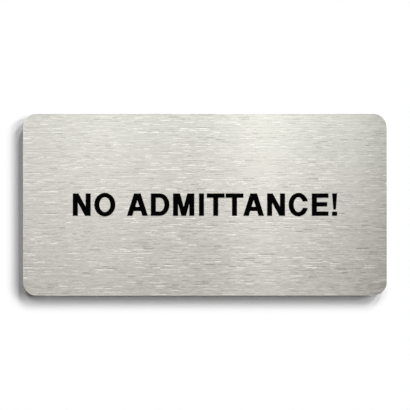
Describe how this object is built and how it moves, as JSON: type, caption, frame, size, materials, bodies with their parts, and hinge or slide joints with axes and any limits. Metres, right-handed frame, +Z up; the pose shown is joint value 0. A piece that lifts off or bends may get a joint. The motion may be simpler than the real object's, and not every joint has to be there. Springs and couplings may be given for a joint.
{
  "type": "no entry sign",
  "caption": "Flat rectangular door sign of brushed stainless sheet with rounded corners, one centred line of black capitals that forbids entry, and foam mounting tape on the back.",
  "frame": {"origin": "on the door's surface, at the middle of the centre tape strip's rear face, which is the sign's middle seen from the front", "axes": "+X to the reader's right along the sign's length, +Y into the door, +Z up; the sign faces -Y"},
  "size_m": [0.16, 0.0021, 0.08],
  "materials": {
    "brushed_plate": "brushed along its length, with a faint waviness and an eased front edge",
    "black_ink": "satin screen-printed ink",
    "foam_tape": "white closed-cell foam with a tacky adhesive face"
  },
  "bodies": {
    "root": {"sign_plate": "brushed_plate", "printed_lettering": "black_ink", "left_tape_strip": "foam_tape", "centre_tape_strip": "foam_tape", "right_tape_strip": "foam_tape"}
  },
  "joints": []
}
